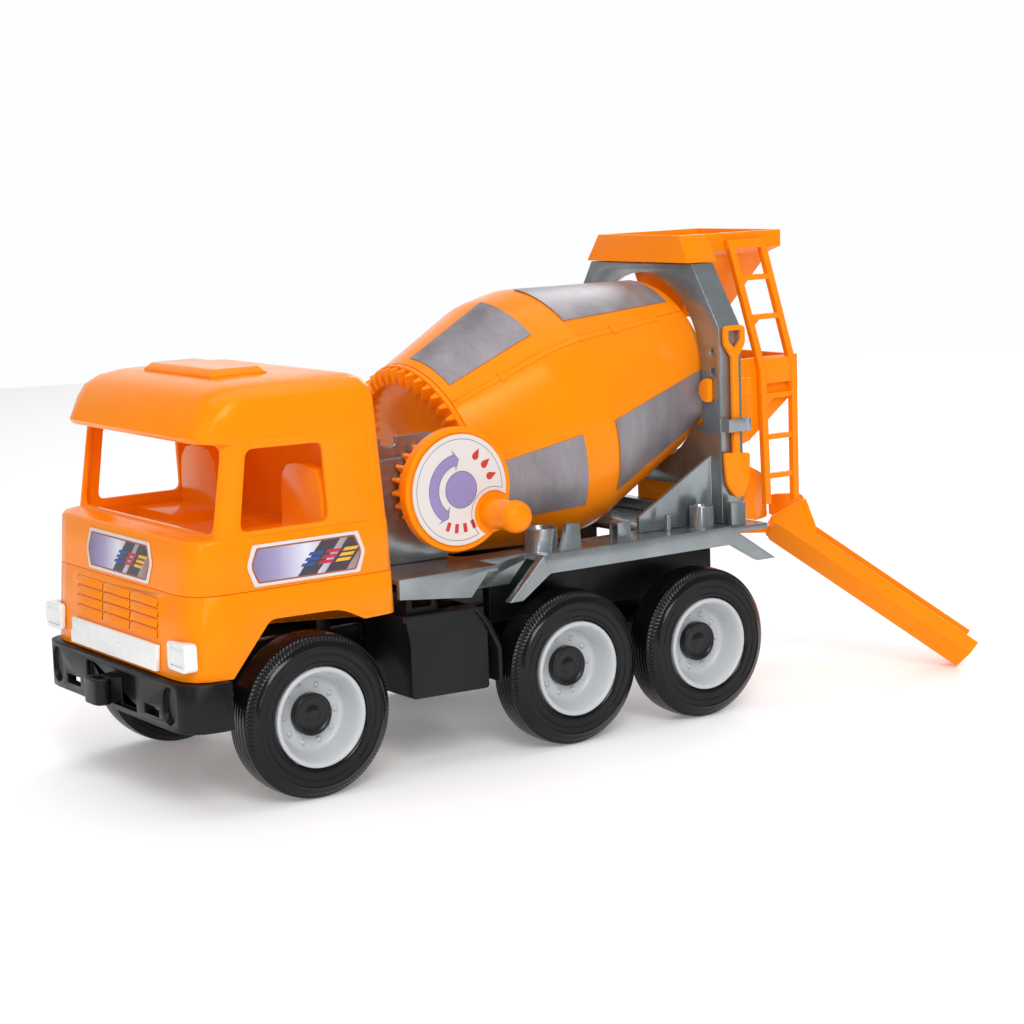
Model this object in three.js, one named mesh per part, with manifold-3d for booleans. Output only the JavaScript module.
// Toy cement mixer truck, millimetres. +X is forward, +Y the truck's left, +Z up.
// Shapes are drawn with x = 0 at the front axle; the last step puts the origin under the middle.
import * as THREE from 'three';
import { mergeVertices } from 'three/addons/utils/BufferGeometryUtils.js';
import Module from 'manifold-3d';

const wasm = await Module();
wasm.setup();

// ---------- driving dimensions ----------
const GAP = 0.3;                       // between two pieces that touch
const ORIGIN = { x: 179.25, y: -9.4 };  // moves the middle of the overall box to x = y = 0
const AXLES = { front: 0, middle: -150.8, rear: -236.6 };
const TYRE = { radius: 40, outer: 84.6, inner: 62, seat: 24.6, segments: 28 };
const RIM = { lip: 22.4, bore: 2.35, face: 72, thickness: 3, wall: 1.8, segments: 22 };
const CAP = { radius: 10.3, low: 72.3, high: 76.4, segments: 16 };
const ROD = { radius: 2, half: 70.6 };
const CHASSIS = { rear: -268, front: 34, rail: 26, web: 7, low: 44, high: 68, bed: 95.2 };
const BUMPER = { front: 68.5, back: 44.5, half: 81, low: 41, high: 64, radius: 18, wall: 5, roof: 61 };
const CAB = { low: 64.4, split: 104.3, frontLow: 64.6, frontSplit: 61.55, half: 78.5, rear: -47.5 };
const LAMP = { from: 59, to: 77.4, low: 70, high: 83.4, front: 66.5, back: 60 };
const STICKER = { thickness: 0.4, low: 105.8, high: 125.6 };
const DECK = { top: 98.5, plate: 3, half: 78, front: -50, rear: -284 };
const PEDESTAL = { front: -57, rear: -102, low: 98.8, high: 163.4, inside: 37.5, outside: 40, wall: -98 };
const ARCH = {
  front: -263, rear: -278, plate: 3, half: 66, topHalf: 44.5, shoulder: 204, top: 237.4, low: 98.8,
  mouth: 50.6,
  room: 1.05,                          // between the drum and its saddle, over the foil panels
};
const DRUM = { x: -180, z: 159.7, tilt: THREE.MathUtils.degToRad(14.4), segments: 40 };
const SEAM = THREE.MathUtils.degToRad(49.5);   // the split of the drum, from straight up towards +Y
const PANEL = { half: THREE.MathUtils.degToRad(18), angles: [22, 108.5, 202, 288.5], thickness: 0.4 };
const CROWN = { teeth: 44, inner: 43.2, outer: 51.4, pitch: -69.6, root: -67.4, tip: -71.8, back: -64.7 };
const PINION = { teeth: 20, radius: 21.4, tip: 22.9, root: 18.8, low: 43.6, high: 50.4 };
const TOOTH = { root: 3.6, tip: 1.5 };
const CRANK = { radius: 31, low: 63, high: 70, hub: 11, pin: 3, pinEnd: -41.5, label: 27.6 };
const KNOB = { x: -19.6, z: -13.6, radius: 8.5, lobe: 10.2, end: 96.4, pin: 2.6, bite: 11.4 };
const FUNNEL = { top: 252.6, half: 36.1, front: -262, rear: -334, low: 206.6 };
const COLLECTOR = { front: -288, rear: -345, half: 35.9, wall: 2 };
const LADDER = { near: 36.4, far: 40, width: 4, foot: 100.6 };
const SEAT = { y: 53, half: 20, back: -20, front: -12, top: 157, low: 121 };
const OUTLET = { front: -279, round: 29.2, half: 28, wall: 2, pin: 3 };
const CHUTE = {
  x: -313, swing: 38, slope: THREE.MathUtils.degToRad(35.94), length: 132.9, start: 26.8, height: 79,
  floor: 8.8, lip: 17.5, knee: 11.2, depth: 19, wall: 1.8, clear: 30.5,
};
const SHOVEL = { low: 66.9, high: 69.5, x: -271.4 };

// ---------- tools ----------
const volume = (position, index) => {
  const [a, b, c] = [new THREE.Vector3(), new THREE.Vector3(), new THREE.Vector3()];
  let sum = 0;
  for (let i = 0; i < index.length; i += 3) {
    a.fromBufferAttribute(position, index[i]);
    b.fromBufferAttribute(position, index[i + 1]);
    c.fromBufferAttribute(position, index[i + 2]);
    sum += a.dot(b.cross(c));
  }
  return sum;
};

// A geometry as a closed solid with its faces outwards and no flat triangles.
const closed = (geometry) => {
  geometry.deleteAttribute('normal');
  geometry.deleteAttribute('uv');
  const merged = mergeVertices(geometry, 1e-4);
  const source = merged.index.array;
  const index = [];
  for (let i = 0; i < source.length; i += 3) {
    const [a, b, c] = source.slice(i, i + 3);
    if (a !== b && b !== c && c !== a) index.push(a, b, c);
  }
  if (volume(merged.attributes.position, index) < 0) index.reverse();
  return new wasm.Manifold(new wasm.Mesh({
    numProp: 3,
    vertProperties: new Float32Array(merged.attributes.position.array),
    triVerts: new Uint32Array(index),
  }));
};

const toGeometry = (solid) => {
  const mesh = solid.getMesh();
  const geometry = new THREE.BufferGeometry();
  geometry.setAttribute('position', new THREE.BufferAttribute(new Float32Array(mesh.vertProperties), 3));
  geometry.setIndex(new THREE.BufferAttribute(new Uint32Array(mesh.triVerts), 1));
  return geometry;
};

const join = (solids) => solids.reduce((sum, solid) => sum.add(solid));
const cut = (solid, tools) => tools.reduce((left, tool) => left.subtract(tool), solid);
const both = (make) => [make(1), make(-1)];
const range = (count, make) => Array.from({ length: count }, (_, i) => make(i));
const span = (side, near, far) => (side > 0 ? [near, far] : [-far, -near]);

const placed = (solid, matrix) => closed(toGeometry(solid).applyMatrix4(matrix));

const box = (x0, x1, y0, y1, z0, z1) => {
  const geometry = new THREE.BoxGeometry(Math.abs(x1 - x0), Math.abs(y1 - y0), Math.abs(z1 - z0));
  geometry.translate((x0 + x1) / 2, (y0 + y1) / 2, (z0 + z1) / 2);
  return closed(geometry);
};

// Corner points [u, v] or [u, v, radius] of a closed outline, its radii turned into short chords.
const outline = (corners, steps = 3) => {
  const shape = new THREE.Shape();
  corners.forEach(([u, v, radius], i) => {
    const corner = new THREE.Vector2(u, v);
    const before = new THREE.Vector2(...corners.at(i - 1).slice(0, 2));
    const after = new THREE.Vector2(...corners[(i + 1) % corners.length].slice(0, 2));
    const start = radius ? before.sub(corner).setLength(radius).add(corner) : corner;
    if (i) shape.lineTo(start.x, start.y);
    else shape.moveTo(start.x, start.y);
    if (!radius) return;
    const end = after.sub(corner).setLength(radius).add(corner);
    shape.quadraticCurveTo(corner.x, corner.y, end.x, end.y);
  });
  return shape.extractPoints(steps).shape;
};

const circle = (u, v, radius, segments) => range(segments, (i) => {
  const angle = (i * 2 * Math.PI) / segments;
  return new THREE.Vector2(u + radius * Math.cos(angle), v + radius * Math.sin(angle));
});

const TURN = {
  x: [[0, 1, 0], [0, 0, 1], [1, 0, 0]],
  y: [[1, 0, 0], [0, 0, 1], [0, -1, 0]],
  z: [[1, 0, 0], [0, 1, 0], [0, 0, 1]],
};

// An outline in the two other axes, drawn out along one axis from low to high.
const prism = (axis, points, low, high) => {
  const shape = new THREE.Shape(points);
  const geometry = new THREE.ExtrudeGeometry(shape, { depth: high - low, bevelEnabled: false, steps: 1 });
  const [u, v, w] = TURN[axis].map((vector) => new THREE.Vector3(...vector));
  geometry.applyMatrix4(new THREE.Matrix4().makeBasis(u, v, w));
  geometry.translate(...{ x: [low, 0, 0], y: [0, high, 0], z: [0, 0, low] }[axis]);
  return closed(geometry);
};

const plate = (axis, corners, low, high) => prism(axis, outline(corners), low, high);
const rod = (axis, u, v, radius, low, high, segments = 16) => (
  prism(axis, circle(u, v, radius, segments), low, high)
);

// A solid turned about local Y; the profile is [radius, y] pairs.
const turned = (profile, segments) => closed(
  new THREE.LatheGeometry(profile.map(([r, y]) => new THREE.Vector2(r, y)), segments),
);

// A solid through a stack of level sections with equal point counts, each a list of [x, y, z].
const loft = (sections) => {
  const count = sections[0].length;
  const last = (sections.length - 1) * count;
  const index = [];
  for (let start = 0; start < last; start += count) {
    for (let i = 0; i < count; i += 1) {
      const a = start + i;
      const b = start + ((i + 1) % count);
      index.push(a, b, b + count, a, b + count, a + count);
    }
  }
  const lid = THREE.ShapeUtils.triangulateShape(sections[0].map(([x, y]) => new THREE.Vector2(x, y)), []);
  lid.forEach(([a, b, c]) => index.push(c, b, a, last + a, last + b, last + c));
  const geometry = new THREE.BufferGeometry();
  geometry.setAttribute('position', new THREE.Float32BufferAttribute(sections.flat(2), 3));
  geometry.setIndex(index);
  return closed(geometry);
};

const rounded = (z, x0, x1, half, radius, back = 6) => outline([
  [x1, -half, radius], [x1, half, radius], [x0, half, back], [x0, -half, back],
], 4).map((p) => [p.x, p.y, z]);

const square = (z, x0, x1, half) => [[x1, -half, z], [x1, half, z], [x0, half, z], [x0, -half, z]];

// ---------- the truck ----------
const truck = new THREE.Group();
truck.name = 'toy_cement_mixer';
const inner = new THREE.Group();
inner.position.set(ORIGIN.x, ORIGIN.y, 0);
truck.add(inner);

const FINISH = {
  orange: { color: 0xff8a1e, roughness: 0.35, metalness: 0 },
  grey: { color: 0x777c82, roughness: 0.4, metalness: 0 },
  black: { color: 0x1b1b1d, roughness: 0.45, metalness: 0 },
  tyre: { color: 0x161617, roughness: 0.5, metalness: 0 },
  white: { color: 0xd9dbdd, roughness: 0.4, metalness: 0 },
  foil: { color: 0x9b969b, roughness: 0.35, metalness: 0.1 },
  paper: { color: 0xf3eee6, roughness: 0.6, metalness: 0 },
  steel: { color: 0x9a9c9e, roughness: 0.3, metalness: 1 },
};

const add = (name, solid, finish) => {
  const mesh = new THREE.Mesh(toGeometry(solid), new THREE.MeshStandardMaterial(FINISH[finish]));
  mesh.name = name;
  inner.add(mesh);
};

// ---------- wheels: a tyre, a deep rim and a hub cap on each end of a steel rod ----------
const tyre = () => turned([
  [TYRE.seat, TYRE.inner + 1], [36, TYRE.inner], [39.4, TYRE.inner + 4.6],
  [TYRE.radius, TYRE.inner + 11.3],
  [39.4, TYRE.outer - 4.6], [36, TYRE.outer - 0.6], [TYRE.seat + 4, TYRE.outer], [TYRE.seat, TYRE.outer - 1.6],
  [TYRE.seat, TYRE.inner + 1],
], TYRE.segments);

const rim = () => {
  const seat = TYRE.seat - GAP;
  const low = RIM.face - RIM.thickness;
  return turned([
    [RIM.bore, low], [seat - RIM.wall - 2, low], [seat - RIM.wall, TYRE.inner + 3], [seat, TYRE.inner + 3],
    [seat, TYRE.outer - 0.6], [RIM.lip, TYRE.outer], [seat - 5, TYRE.outer - 5], [seat - 8.6, RIM.face],
    [RIM.bore, RIM.face], [RIM.bore, low],
  ], RIM.segments);
};

const hubCap = () => turned([
  [0, CAP.low], [CAP.radius, CAP.low], [CAP.radius, CAP.high - 1.4], [CAP.radius - 1.4, CAP.high],
  [0, CAP.high],
], CAP.segments);

// Local Y of a turned solid stays along Y; the far side is mirrored.
const onWheel = (solid, x, side) => placed(
  solid,
  new THREE.Matrix4().makeTranslation(x, 0, TYRE.radius).scale(new THREE.Vector3(1, side, 1)),
);

Object.entries(AXLES).forEach(([place, x]) => {
  add(`${place}_axle`, rod('y', x, TYRE.radius, ROD.radius, -ROD.half, ROD.half, 12), 'steel');
  [['left', 1], ['right', -1]].forEach(([hand, side]) => {
    add(`${place}_${hand}_tyre`, onWheel(tyre(), x, side), 'tyre');
    add(`${place}_${hand}_rim`, onWheel(rim(), x, side), 'white');
    add(`${place}_${hand}_hub_cap`, onWheel(hubCap(), x, side), 'black');
  });
});

// ---------- chassis ----------
// Two rails, a belly plate, three axle housings, cab posts, deck posts and the rear bed.
const chassisFrame = () => {
  const c = CHASSIS;
  const rails = both((s) => box(c.rear, c.front, s * (c.rail - c.web), s * c.rail, c.low, c.high));
  const belly = box(-118, -52, -c.rail, c.rail, c.low, c.low + 3);
  const crosses = [-264, -194, 30].map((x) => box(x - 4, x + 4, -c.rail, c.rail, c.low, c.high));
  const housings = Object.values(AXLES).map((x) => plate('y', [
    [x - 9, 52], [x - 7, 33, 2], [x + 7, 33, 2], [x + 9, 52],
  ], -57, 57));
  const tray = box(-264, -118, -54, 54, 64, 67);
  const bed = both((s) => box(-264, -118, s * 48, s * 54, 64, c.bed));
  const deckPosts = [-106, -62].flatMap((x) => both((s) => box(x - 4, x + 4, s * 19, s * 27, 60, c.bed)));
  const cabPosts = [-36, 25].flatMap((x) => both((s) => box(x - 4, x + 4, s * 19, s * 27, 60, 84.1)));
  const nose = box(30, BUMPER.front - BUMPER.wall - GAP, -22, 22, 46, BUMPER.roof - GAP);
  const bores = Object.values(AXLES).map((x) => rod('y', x, TYRE.radius, ROD.radius + 0.4, -60, 60));
  const beams = [...rails, belly, ...crosses, ...housings, tray, ...bed];
  return cut(join([...beams, ...deckPosts, ...cabPosts, nose]), bores);
};

const frontBumper = () => {
  const b = BUMPER;
  const side = b.wall - 1.6;
  const outer = outline([
    [b.back, b.half], [b.back, -b.half], [b.front, -b.half, b.radius], [b.front, b.half, b.radius],
  ], 5);
  const hollow = outline([
    [b.back - 2, b.half - side], [b.back - 2, side - b.half],
    [b.front - b.wall, side - b.half, b.radius - 3], [b.front - b.wall, b.half - side, b.radius - 3],
  ], 5);
  const shell = prism('z', outer, b.low, b.high).subtract(prism('z', hollow, b.low - 1, b.roof));
  const recess = box(b.front - 2.6, b.front + 4, -27, 27, 44, b.roof);
  const slots = both((s) => box(b.front - 9, b.front + 3, s * 36, s * 51, 45.5, 50));
  const lamps = both((s) => {
    const oval = circle(0, 0, 6.5, 14).map((p) => new THREE.Vector2(s * 62 + p.x, 53 + p.y * 1.4));
    return prism('x', oval, b.front - 2.2, b.front + 4);
  });
  const hook = plate('z', [
    [b.front - 4, -7], [b.front + 3, -6], [b.front + 4.5, -8.6, 2], [b.front + 11.5, -8.6, 4.6],
    [b.front + 11.5, 8.6, 4.6], [b.front + 4.5, 8.6, 2], [b.front + 3, 6], [b.front - 4, 7],
  ], 45, 57.5);
  const cup = box(b.front + 3.4, b.front + 9, -4.6, 4.6, 48, 60);
  return join([cut(shell, [recess, ...slots, ...lamps]), hook]).subtract(cup);
};

// Tank box with a top pocket, the mudguard that runs round it and the square hose socket.
const sideTank = (side) => {
  const tank = plate('y', [
    [-53, 78], [-55.5, 66], [-55.5, 38, 2], [-101, 37, 2], [-101, 66], [-94, 78],
  ], ...span(side, 34, 77));
  const pocket = box(-68, -93, ...span(side, 58, 70), 71, 90);
  const guard = plate('y', [
    [-50.5, 79.8], [-94.5, 79.6], [-102, 70], [-108, 57], [-108, 39.5], [-105.6, 39.5], [-105.6, 56],
    [-100, 68], [-93.5, 77], [-50.5, 77],
  ], ...span(side, 34, 79));
  const socket = box(-57, -75, ...span(side, 56, 72), 77, 90);
  const throat = box(-60.5, -71.5, ...span(side, 52, 74), 82.5, 87.6);
  const tie = box(-64, -92, ...span(side, CHASSIS.rail + 1 + GAP, 35), 48, 66);
  return cut(join([tank, guard, socket, tie]), [pocket, throat]);
};

add('chassis_frame', chassisFrame(), 'black');
add('front_bumper', frontBumper(), 'black');
add('left_side_tank', sideTank(1), 'black');
add('right_side_tank', sideTank(-1), 'black');

// ---------- cab ----------
// A thin plate lying on a face that leans back; the outline is [across, z].
const decal = (axis, corners, at, lean, base) => {
  const flat = plate(axis, corners, at, at + STICKER.thickness);
  const matrix = new THREE.Matrix4();
  matrix.elements[axis === 'x' ? 8 : 9] = -lean;
  matrix.elements[axis === 'x' ? 12 : 13] = lean * base;
  return placed(flat, matrix);
};

// Level sections of the upper shell, outside and inside: z, rear x, front x, half width, corner.
const UPPER_OUTSIDE = [
  [104.3, -47.5, 61.5, 78.5, 19], [128, -46.6, 59.4, 78.2, 18], [129.4, -46.5, 57.8, 77.8, 17],
  [130, -46.4, 46.5, 77.6, 8], [172.6, -43.5, 39.8, 77, 8], [173.6, -43.5, 51, 77, 17],
  [176, -43.3, 52.6, 77, 18], [187, -42.6, 47.6, 76.6, 18], [193, -42, 43.6, 75, 17],
  [197, -40, 37.5, 71, 16], [199.2, -36, 29, 64, 14], [200.2, -30, 18, 54, 12],
];
const UPPER_INSIDE = [
  [102, -45, 59, 76, 17], [125.4, -44.1, 56.9, 75.7, 16], [126.9, -44, 55.4, 75.4, 15],
  [127.5, -43.9, 44, 75.1, 6], [175.2, -41, 37.2, 74.5, 6], [176.2, -41, 48.4, 74.5, 15],
  [187, -40.1, 45, 74.1, 16], [192, -39.5, 40.6, 72, 15], [195, -37.5, 34, 67, 13], [196.8, -33, 25, 60, 11],
];
const SIDE_WINDOW = [[29.5, 170.2, 4], [34.8, 132, 4], [-12.7, 132, 4], [-11.3, 169.6, 4]];

// A faint raised panel round each side window, drawn [x, z] and leaning in with the side.
const WINDOW_PANEL = [[30.5, 129.6, 2], [-37, 129.6, 3], [-35.6, 175, 3], [26.5, 175, 3]];

const cabUpper = () => {
  const shell = (levels) => loft(levels.map((level) => rounded(...level)));
  const [outside, inside] = [shell(UPPER_OUTSIDE), shell(UPPER_INSIDE)];
  const hatch = loft([
    rounded(198, -7, 24, 37, 3, 3), rounded(201, -7, 24, 37, 3, 3), rounded(203.8, -3.5, 20.5, 34, 2, 2),
  ]);
  const panels = [
    decal('y', WINDOW_PANEL, 77.45, 0.0141, 130),
    decal('y', WINDOW_PANEL, -77.45 - STICKER.thickness, -0.0141, 130),
  ];
  const corners = [[-71.5, 131.2, 5], [71.5, 131.2, 5], [71.5, 171.8, 5], [-71.5, 171.8, 5]];
  const screen = plate('x', corners, 33, 62);
  const windows = both((s) => plate('y', SIDE_WINDOW, ...span(s, 60, 90)));
  return cut(join([outside, ...panels]).subtract(inside).add(hatch), [screen, ...windows]);
};

// The front face leans back; this is its x at a height.
const faceLean = (CAB.frontSplit - CAB.frontLow) / (CAB.split - CAB.low);
const faceX = (z) => CAB.frontLow + (z - CAB.low) * faceLean;

const lowerBody = (grow) => loft([
  rounded(CAB.low - 3 * grow, CAB.rear - 1.2 - grow, faceX(CAB.low - 3 * grow) + grow, 78.8 + grow, 19),
  rounded(CAB.split - GAP, CAB.rear - grow, faceX(CAB.split - GAP) + grow, CAB.half + grow, 19),
]);

const louvre = (row, column) => {
  const low = 81.4 + row * 4.9;
  const high = low + 4.5;
  return prism('y', [
    new THREE.Vector2(faceX(low) - 1, low), new THREE.Vector2(faceX(low) + 1.1, low + 0.5),
    new THREE.Vector2(faceX(high) + 0.2, high), new THREE.Vector2(faceX(high) - 1, high),
  ], column * 30 - 14.4, column * 30 + 14.4);
};

const cabLower = () => {
  const inside = loft([
    rounded(CAB.low - 2, CAB.rear + 1.3, faceX(CAB.low - 2) - 2.5, 76.3, 17),
    rounded(CAB.split + 2, CAB.rear + 2.5, faceX(CAB.split + 2) - 2.5, 76, 17),
  ]);
  const arches = both((s) => plate('y', [
    [42.5, 60], [42.5, CAB.low], [21.5, 89.5, 3], [-17, 89, 6], [-29.5, 82.6], [-60, 83.5], [-60, 60],
  ], ...span(s, 40, 90)));
  const openBack = box(-60, -30, -60, 60, 60, 83);
  const floor = box(-44, 30, -52, 52, 84.4, 87.4);
  const wells = both((s) => plate('y', [
    [45, 70], [23.5, 92, 3], [-24, 92, 6], [-36, 86], [-36, 83.6], [-23, 89.6, 6], [22, 89.6, 3], [43.5, 68],
  ], ...span(s, 50, 77.4)));
  const louvres = [-1, 0, 1].flatMap((column) => range(4, (row) => louvre(row, column)));
  return join([cut(lowerBody(0).subtract(inside), [...arches, openBack]), floor, ...wells, ...louvres]);
};

// Tub with two seats and the dashboard, standing on the floor of the lower cab.
const cabInterior = () => {
  const shelf = plate('z', [
    [52, -60], [52, 60], [40, 73.4], [-38, 73.4, 3], [-38, -73.4, 3], [40, -73.4],
  ], 119, 122);
  const legs = [-36, 22].map((x) => box(x, x + 4, -48, 48, 87.7, 120));
  const dash = plate('y', [[36, 121], [53, 121], [53, 125.6], [42, 126, 3], [36, 124]], -62, 62);
  const t = SEAT;
  const seats = [t.y, -t.y].flatMap((y) => [
    plate('x', [
      [y - t.half, t.low], [y + t.half, t.low], [y + t.half - 1, t.top, 14], [y - t.half + 1, t.top, 14],
    ], t.back, t.front),
    box(t.front - 1, 14, y - t.half, y + t.half, t.low, t.low + 5),
  ]);
  return join([shelf, ...legs, dash, ...seats]);
};

const headlight = (side) => {
  const [y0, y1] = span(side, LAMP.from, LAMP.to);
  const body = plate('x', [
    [y0, LAMP.low, 2.5], [y1, LAMP.low, 2.5], [y1, LAMP.high, 2.5], [y0, LAMP.high, 2.5],
  ], LAMP.back, LAMP.front);
  const lens = box(LAMP.front - 0.8, LAMP.front + 2, y0 + 2.8, y1 - 2.8, LAMP.low + 2.4, LAMP.high - 2.4);
  return cut(body, [lowerBody(GAP), lens]);
};

const grilleBar = () => plate('y', [
  [faceX(66.6) + GAP, 66.6], [67, 66.6], [67, 72.4], [66.1, 73], [66.1, 79], [faceX(79) + GAP, 79],
], -47, 47);

const label = (from, to) => {
  const middle = (STICKER.low + STICKER.high) / 2;
  return [
    [from, middle, 2], [from + 3.5, STICKER.high, 1], [to - 3.5, STICKER.high, 1],
    [to, middle, 2], [to - 3.5, STICKER.low, 1], [from + 3.5, STICKER.low, 1],
  ];
};

add('cab_lower', cabLower(), 'orange');
add('cab_upper', cabUpper(), 'orange');
add('cab_interior', cabInterior(), 'orange');
add('left_headlight', headlight(1), 'white');
add('right_headlight', headlight(-1), 'white');
add('grille_bar', grilleBar(), 'white');
add('front_sticker', decal('x', label(-34.5, 37.5), 61.5 + GAP, 0.0886, CAB.split), 'paper');
add('left_sticker', decal('y', label(-31, 33), CAB.half + GAP, 0.0127, CAB.split), 'paper');
const farSide = -CAB.half - GAP - STICKER.thickness;
add('right_sticker', decal('y', label(-31, 33), farSide, -0.0127, CAB.split), 'paper');

// ---------- deck ----------
const deckSide = (s) => {
  const low = DECK.top - DECK.plate;
  const at = (near, far) => span(s, near, far);
  const cup = (x, y, radius) => rod('z', x, s * y, radius, low, 110.6, 14)
    .subtract(rod('z', x, s * y, radius - 1.8, DECK.top - 0.5, 112, 14));
  return join([
    plate('y', [[DECK.front, 88.4], [-91.6, 84], [-104.8, 98.5], [DECK.front, 98.5]], ...at(75, DECK.half)),
    plate('y', [
      [-114.4, 78], [-136.6, 99.4, 1.5], [-258, 99.4], [-289.5, 78.6], [-277.5, 78.6], [-259, 89.4],
      [-140, 89.6, 1], [-122.6, 78],
    ], ...at(73, DECK.half)),
    plate('y', [[-95, 84], [-106, 98.5], [-140, 98.5], [-126, 84]], ...at(58, 61)),
    cup(-147, 60, 9),
    cup(-249, 65, 6.6),
    plate('y', [[-149, low], [-163, low], [-162, 112.5], [-154, 113]], ...at(70.5, 74)),
    plate('y', [[-262.6, low], [-272.4, low], [-272.4, 110.4], [-262.6, 111.4]], ...at(70.5, 74)),
    rod('z', -225.4, s * 66, 1.7, low, 108.2, 8),
    box(-192.4, -201, ...at(58, 66), low, 108).subtract(box(-190, -198.6, ...at(59.8, 64.2), DECK.top, 106)),
  ]);
};

const deck = () => {
  const d = DECK;
  const low = d.top - d.plate;
  const plates = [
    box(d.front, -108, -d.half, d.half, low, d.top), box(-106, -140, -61, 61, low, d.top),
    box(-136.6, -262, -d.half, d.half, low, d.top), box(-260, d.rear, -d.half, d.half, low, d.top),
  ];
  const well = plate('z', [[-106, 46, 6], [-106, -46, 6], [-222, -46, 6], [-222, 46, 6]], 70, 110);
  return join([join(plates).subtract(well), ...both(deckSide)]);
};

add('deck', deck(), 'grey');

// ---------- drum line ----------
// Local Y runs rearwards and up the drum axis, local X is square to it and up, local Z to the right.
const axis = new THREE.Vector3(-Math.cos(DRUM.tilt), 0, Math.sin(DRUM.tilt));
const across = new THREE.Vector3(Math.sin(DRUM.tilt), 0, Math.cos(DRUM.tilt));
const drumFrame = new THREE.Matrix4().makeBasis(across, axis, new THREE.Vector3(0, -1, 0));
drumFrame.setPosition(DRUM.x, 0, DRUM.z);
const onDrum = (solid) => placed(solid, drumFrame);
const crankAt = new THREE.Vector3(DRUM.x, 0, DRUM.z).addScaledVector(axis, CROWN.pitch - PINION.radius);

// ---------- pedestal, arch, hopper ----------
const frontPedestal = () => {
  const p = PEDESTAL;
  const cheeks = both((s) => plate('y', [
    [p.front, p.low], [p.front, 162.6, 2], [-66, 162.8], [-66, 158, 3], [-75, 158, 3], [-75, 163],
    [-97.4, p.high, 3], [p.rear, 154], [p.rear, p.low],
  ], ...span(s, p.inside, p.outside)));
  const steps = both((s) => plate('y', [
    [p.front, p.low], [p.front, 151.5], [-78, 152.2], [-78, 118], [-88, 108], [p.rear, 108], [p.rear, p.low],
  ], ...span(s, p.outside - 0.4, p.outside + 2.2)));
  const front = box(p.front, p.front - 2.6, -p.inside - 1, p.inside + 1, p.low, 146);
  const wall = box(p.wall, p.wall - 3, -p.inside - 1, p.inside + 1, p.low, 151);
  const pinBore = onDrum(rod('y', 0, 0, 5.4, -100, -70, 20));
  const axleBore = rod('y', crankAt.x, crankAt.z, CRANK.pin + GAP, -50, 50);
  return cut(join([...cheeks, ...steps, front, wall]), [pinBore, axleBore]);
};

const SHELL = [[-64.4, 52.6], [-10, 68.3], [10.6, 68.2], [92, 47], [95, 45.2], [98, 37]];

// The drum with clearance all round, for the saddle it turns in.
const drumRoom = () => onDrum(turned([
  [0, -64], ...SHELL.map(([s, r]) => [r + ARCH.room, s]), [37.6, 120], [0, 120],
], 60));

const rearArch = () => {
  const a = ARCH;
  const portal = plate('x', [
    [-a.half, a.low], [a.half, a.low], [a.half, a.shoulder], [a.topHalf, a.top], [-a.topHalf, a.top],
    [-a.half, a.shoulder],
  ], a.rear, a.front);
  const back = plate('x', [
    [3 - a.half, a.low + 4], [a.half - 3, a.low + 4], [a.half - 3, a.shoulder - 1.3],
    [a.topHalf - 1.4, a.top - 3], [1.4 - a.topHalf, a.top - 3], [3 - a.half, a.shoulder - 1.3],
  ], a.rear - 1, a.front - a.plate);
  const mouth = rod('x', 0, 181.6, a.mouth, a.rear - 5, a.front + 5, 36);
  const passage = box(a.rear - 5, a.front + 5, -a.mouth, a.mouth, a.low + 6, 181);
  const saddle = box(a.rear, a.front, -54, 54, 117, 150);
  const walls = both((s) => box(a.rear, a.front - 1, s * a.mouth, s * 54, a.low, 190));
  const bolts = both((s) => rod('x', s * 60.5, 191.2, 1.9, a.front - 5, a.front + 5, 10));
  const holes = both((s) => box(a.front - 5, a.front + 5, s * 58.6, s * 62, 178.6, 182.4));
  const tabSlots = both((s) => box(a.front - 5, a.front + 5, s * 56, s * 60.6, 165, 176));
  const gussets = both((s) => plate('y', [
    [a.front - 1, 135.4], [-213.6, 107.4], [-213.6, a.low], [a.front - 1, a.low],
  ], ...span(s, 54.4, 57)));
  const clips = join([
    box(a.front - 0.2, a.front - 2.4, a.half - 1, 72.8, 148.6, 155.6),
    box(a.front - 0.2, a.rear + 1.5, 70.6, 72.8, 148.6, 155.6),
    rod('z', a.rear + 1.5, 72.2, 2, 148.6, 155.6, 12),
  ]);
  const frame = cut(portal.subtract(back), [mouth, passage]);
  const body = cut(join([frame, saddle, ...walls]), [drumRoom(), mouth]);
  return join([cut(body, [...bolts, ...holes, ...tabSlots]), ...gussets, clips]);
};

const hopper = () => {
  const f = FUNNEL;
  const hood = loft([square(238, -281, -260.4, 45), square(f.top, -281, f.front, f.half)]);
  const funnel = loft([
    square(f.low, -311, -279, 14), square(240.6, -330, -279, 31), square(243.4, f.rear, -275, f.half),
    square(f.top, f.rear, -275, f.half),
  ]);
  const inside = loft([
    square(f.low - 1, -309.2, -280.8, 12.2), square(241.6, -328, -281, 29), square(245, -332, -266, 33.4),
    square(f.top + 1, -332, -264, 34.1),
  ]);
  const underside = box(-263.4, -277.4, -33, 33, 237, 241.4);
  return cut(hood.add(funnel), [inside, underside]);
};

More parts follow.
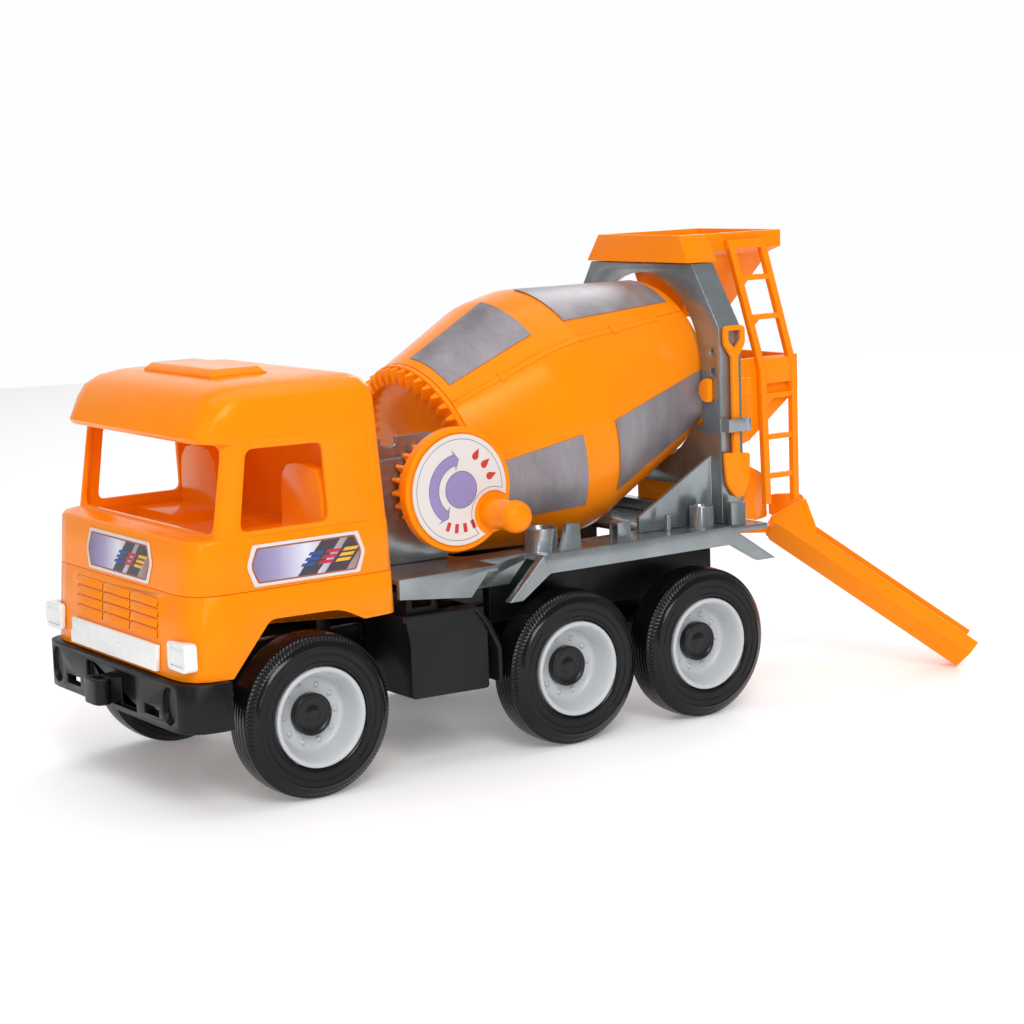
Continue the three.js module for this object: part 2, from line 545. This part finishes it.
// Catches what leaves the drum; two arms reach through the arch and end in round tabs.
const collector = () => {
  const c = COLLECTOR;
  const tray = plate('y', [
    [c.front, 182.6], [c.rear, 182.6], [c.rear, 163.5], [-309, 137], [-296, 133], [c.front, 136],
  ], -c.half, c.half);
  const inside = plate('y', [
    [-280, 186], [c.rear + 2, 186], [c.rear + 2, 164.4], [-308.4, 139.2], [-296, 135.2], [-280, 138],
  ], c.wall - c.half, c.half - c.wall);
  const outlet = box(-294, -308, -15, 15, 120, 150);
  const arms = both((s) => join([
    box(-280, c.front - 2, s * 34, s * 60, 165.6, 175.4),
    box(ARCH.front + 1, -282, s * 56.6, s * 60, 165.6, 175.4),
    rod('x', s * 58.2, 170.5, 6.4, ARCH.front + GAP, ARCH.front + 3.2).subtract(
      box(-270, -255, s * 60.4, s * 70, 160, 180),
    ),
  ]));
  return join([tray.subtract(inside).subtract(outlet), ...arms]);
};

const FRONT_RAIL = [[-294.6, 248.6], [-316.4, 176], [-318.4, LADDER.foot]];
const REAR_RAIL = [[-317, 248.6], [-339, 176], [-339, LADDER.foot]];

const railX = (points, z) => {
  const [a, b] = z > points[1][1] ? points : points.slice(1);
  return a[0] + ((b[0] - a[0]) * (z - a[1])) / (b[1] - a[1]);
};

const ladder = () => {
  const l = LADDER;
  const rails = [FRONT_RAIL, REAR_RAIL].map((points) => plate('y', [
    ...points.map(([x, z]) => [x - l.width / 2, z]),
    ...points.toReversed().map(([x, z]) => [x + l.width / 2, z]),
  ], l.near, l.far));
  const rungs = [227.4, 205.4, 161, 138, 116].map((z) => (
    box(railX(FRONT_RAIL, z), railX(REAR_RAIL, z), l.near + 0.4, l.far - 0.4, z - 1.5, z + 1.5)
  ));
  const panel = box(-316, -339, l.near, l.far - 0.8, 168, 182);
  const head = box(-293.6, -318, l.near, l.far, 243.6, 248.6);
  const braces = [205.4, 161].map((z) => {
    const x = railX(FRONT_RAIL, z);
    return plate('y', [[x, z], [x - 9, z], [x, z - 8]], l.near + 0.8, l.far - 0.8);
  });
  return join([...rails, ...rungs, panel, head, ...braces]);
};

// Fixed outlet: a trough with a round end about the chute's pivot, and the pin the chute hangs on.
const outletPlan = (inset) => {
  const { front, round, half } = OUTLET;
  const steps = 14;
  const end = range(steps + 1, (i) => {
    const angle = Math.PI / 2 + (i * Math.PI) / steps;
    const radius = round - inset;
    return new THREE.Vector2(CHUTE.x + radius * Math.cos(angle), radius * Math.sin(angle));
  });
  const square = [inset - half, half - inset].map((y) => new THREE.Vector2(front - inset, y));
  return prism('z', [...square, ...end], 60, 150);
};

const outlet = () => {
  const o = OUTLET;
  const sides = plate('y', [
    [o.front + 1, 100], [o.front + 1, 132.6], [-290, 132.6, 3], [-334, 112, 4], [-345, 99], [-345, 90.2],
    [-318, 90.2], [-302, 96],
  ], -40, 40);
  const room = plate('y', [
    [o.front + 1, 110], [-298, 105.4], [-320, 93.4], [-350, 92.6], [-350, 140], [o.front + 1, 140],
  ], -40, 40);
  const spout = box(-318, -350, -21, 21, 92.6, 140);
  const pin = join([
    rod('z', CHUTE.x, 0, 6, 89.4, 98),
    rod('z', CHUTE.x, 0, o.pin, 78, 98),
    rod('z', CHUTE.x, 0, 5.2, 76.6, 79.6),
  ]);
  const shell = cut(outletPlan(0).intersect(sides), [outletPlan(o.wall).intersect(room), spout]);
  return join([shell, pin]);
};

// The chute is drawn along local X from its pivot, then swung to its resting angle.
const chute = () => {
  const c = CHUTE;
  const trough = prism('x', [
    [-c.lip, c.depth], [-c.lip, c.knee], [-c.floor, 0], [c.floor, 0], [c.lip, c.knee], [c.lip, c.depth],
    [c.lip - c.wall, c.depth], [c.lip - c.wall, c.knee + 0.8], [c.floor - 0.8, c.wall],
    [0.8 - c.floor, c.wall], [c.wall - c.lip, c.knee + 0.8], [c.wall - c.lip, c.depth],
  ].map(([y, z]) => new THREE.Vector2(y, z)), 0, c.length);
  const sloped = placed(trough, new THREE.Matrix4().makeTranslation(c.start, 0, c.height)
    .multiply(new THREE.Matrix4().makeRotationY(c.slope)));
  const nearOutline = [[31, 88], [31, 92], [50, 102, 2], [55.5, 86], [55.5, 78]];
  const farOutline = [[31, 88], [31, 99.6, 4], [50, 99.6, 3], [55.5, 86], [55.5, 78]];
  const cheeks = join([
    plate('y', nearOutline, -c.lip, c.wall - c.lip),
    plate('y', farOutline, c.lip - c.wall, c.lip),
  ]);
  const arm = join([
    plate('z', [[0, -6], [36, -6], [36, 6], [0, 6]], 80.6, 84.4),
    plate('y', [[28, 84], [28, 79], [36, 73.2], [36, 84]], -6, 6),
  ]);
  const ring = rod('z', 0, 0, 8, 80.6, 88.8, 20);
  const hole = rod('z', 0, 0, OUTLET.pin + 0.35, 70, 100);
  const headRoom = rod('z', 0, 0, c.clear, 60, 120, 40);
  const body = join([sloped, cheeks]).subtract(headRoom);
  const whole = join([body, arm, ring]).subtract(hole);
  const swing = new THREE.Matrix4().makeTranslation(c.x, 0, 0)
    .multiply(new THREE.Matrix4().makeRotationZ(Math.PI - THREE.MathUtils.degToRad(c.swing)));
  return placed(whole, swing);
};

add('front_pedestal', frontPedestal(), 'grey');
add('rear_arch', rearArch(), 'grey');
add('hopper', hopper(), 'orange');
add('collector', collector(), 'orange');
add('ladder', ladder(), 'orange');
add('outlet', outlet(), 'orange');
add('chute', chute(), 'orange');

// ---------- drum ----------
const drumShell = () => turned([
  ...SHELL.map(([s, r]) => [r, s]),
  [35, 98], [43, 95], [45, 91.6], [66.2, 10.4], [66.3, -9.8], [50.6, -64.4], [52.6, -64.4],
], DRUM.segments);

// The drum on one side of the split plane, which holds the axis and the seam's direction.
const drumHalf = (side) => {
  const keep = placed(
    box(side * GAP * 0.5, side * 90, -90, 130, -90, 90),
    new THREE.Matrix4().makeRotationY(SEAM + Math.PI / 2),
  );
  return onDrum(drumShell().intersect(keep));
};

const radiusAt = (s) => {
  const i = SHELL.findIndex(([at]) => at >= s);
  const [[s0, r0], [s1, r1]] = [SHELL[i - 1], SHELL[i]];
  return r0 + ((r1 - r0) * (s - s0)) / (s1 - s0);
};

// A thin foil panel on the cone between two stations, centred on an angle from straight up to +Y.
const drumPanel = (from, to, degrees) => {
  const [low, high] = [GAP, GAP + PANEL.thickness];
  const ring = turned([
    [radiusAt(from) + low, from], [radiusAt(from) + high, from], [radiusAt(to) + high, to],
    [radiusAt(to) + low, to], [radiusAt(from) + low, from],
  ], 72);
  const middle = THREE.MathUtils.degToRad(degrees);
  const edge = (angle) => new THREE.Vector2(120 * Math.cos(angle), 120 * Math.sin(angle));
  const corners = [new THREE.Vector2(0, 0), edge(-middle - PANEL.half), edge(-middle + PANEL.half)];
  const wedge = prism('y', corners, -90, 130);
  return onDrum(ring.intersect(wedge));
};

const toothSection = () => {
  const half = CROWN.root - CROWN.pitch;
  return [
    [-TOOTH.root / 2, -half - 0.3], [-TOOTH.tip / 2, half], [TOOTH.tip / 2, half],
    [TOOTH.root / 2, -half - 0.3],
  ].map(([u, v]) => new THREE.Vector2(u, v));
};

// Front end of the drum: a plate with a pin and a ring of teeth facing forwards.
const crownGear = () => {
  const c = CROWN;
  const body = turned([
    [0, -86.5], [4.4, -86.5], [5, -85.8], [5, -78.5], [9, -78.5], [13, c.root], [c.outer + 0.8, c.root],
    [c.outer + 1.1, c.root + 0.5], [c.outer + 1.1, c.back], [50.1, c.back], [50.1, -60], [48, -60],
    [48, c.back], [0, c.back],
  ], 44);
  const tooth = prism('z', toothSection(), c.inner, c.outer);
  const flip = new THREE.Matrix4().makeTranslation(0, c.pitch, 0).scale(new THREE.Vector3(1, -1, 1));
  const teeth = range(c.teeth, (k) => placed(
    tooth,
    new THREE.Matrix4().makeRotationY((k * 2 * Math.PI) / c.teeth).multiply(flip),
  ));
  return onDrum(join([body, ...teeth]));
};

add('drum_near_half', drumHalf(1), 'orange');
add('drum_far_half', drumHalf(-1), 'orange');
add('crown_gear', crownGear(), 'orange');
PANEL.angles.forEach((angle, i) => {
  add(`drum_panel_front_${i + 1}`, drumPanel(-60, -10.4, angle), 'foil');
  add(`drum_panel_rear_${i + 1}`, drumPanel(11, 88, angle), 'foil');
});

// ---------- crank: drawn about local Y, then moved to its shaft ----------
const onCrank = (solid) => placed(solid, new THREE.Matrix4().makeTranslation(crankAt.x, 0, crankAt.z));

const crankWheel = () => {
  const k = CRANK;
  const body = turned([
    [0, k.pinEnd], [k.pin, k.pinEnd], [k.pin, PINION.low], [PINION.root, PINION.low],
    [PINION.root, PINION.high], [k.hub, PINION.high], [k.hub, k.low], [k.radius - 1.4, k.low],
    [k.radius, k.low + 1.4], [k.radius, k.high - 0.8], [k.radius - 0.8, k.high], [0, k.high],
  ], 36);
  const section = [
    [-TOOTH.root / 2, PINION.root - 0.4], [-TOOTH.tip / 2, PINION.tip], [TOOTH.tip / 2, PINION.tip],
    [TOOTH.root / 2, PINION.root - 0.4],
  ].map(([u, v]) => new THREE.Vector2(u, v));
  const tooth = prism('y', section, PINION.low, PINION.high);
  const first = Math.atan2(axis.x, axis.z) + Math.PI / PINION.teeth;
  const teeth = range(PINION.teeth, (i) => placed(
    tooth,
    new THREE.Matrix4().makeRotationY(first + (i * 2 * Math.PI) / PINION.teeth),
  ));
  const lobe = rod('y', KNOB.x, KNOB.z, KNOB.lobe, k.low + 1, k.high, 20);
  const socket = rod('y', KNOB.x, KNOB.z, KNOB.pin + 0.3, k.low + 2, k.high + 2, 12);
  return onCrank(join([body, lobe, ...teeth]).subtract(socket));
};

const crankLabel = () => onCrank(
  rod('y', 0, 0, CRANK.label, CRANK.high + GAP, CRANK.high + GAP + 0.4, 32)
    .subtract(rod('y', KNOB.x, KNOB.z, KNOB.bite, 60, 80, 20)),
);

const crankKnob = () => {
  const base = CRANK.high + GAP;
  const knob = turned([
    [0, CRANK.low + 2.6], [KNOB.pin, CRANK.low + 2.6], [KNOB.pin, base], [KNOB.radius - 0.4, base],
    [KNOB.radius - 1, base + 12], [KNOB.radius - 0.3, KNOB.end - 7.6], [KNOB.radius - 1.6, KNOB.end - 3.8],
    [KNOB.radius - 4.6, KNOB.end - 1], [0, KNOB.end],
  ], 20);
  return onCrank(placed(knob, new THREE.Matrix4().makeTranslation(KNOB.x, 0, KNOB.z)));
};

add('crank_wheel', crankWheel(), 'orange');
add('crank_label', crankLabel(), 'paper');
add('crank_knob', crankKnob(), 'orange');

// ---------- shovel clipped to the arch ----------
const shovel = () => {
  const { x, low, high } = SHOVEL;
  const blade = plate('y', [
    [x - 9, 136, 2], [x + 8.4, 137.4, 2], [x + 7, 120, 4], [x + 1.4, 112.6, 2], [x - 3.4, 112.6, 2],
    [x - 8, 120, 4],
  ], low, high);
  const shaft = plate('y', [[x - 2, 134], [x - 2, 192], [x + 2, 192], [x + 2, 134]], low, high);
  const loop = plate('y', [
    [x - 2, 188], [x - 7, 195, 2], [x - 7, 205, 3], [x + 7, 205, 3], [x + 7, 195, 2], [x + 2, 188],
  ], low, high);
  const hole = plate('y', [
    [x, 192.6], [x - 4.4, 197, 1], [x - 4.4, 202.4, 1], [x + 4.4, 202.4, 1], [x + 4.4, 197, 1],
  ], low - 1, high + 1);
  const grip = loop.subtract(hole);
  return join([blade, shaft, grip]);
};

add('shovel', shovel(), 'orange');

export default truck;
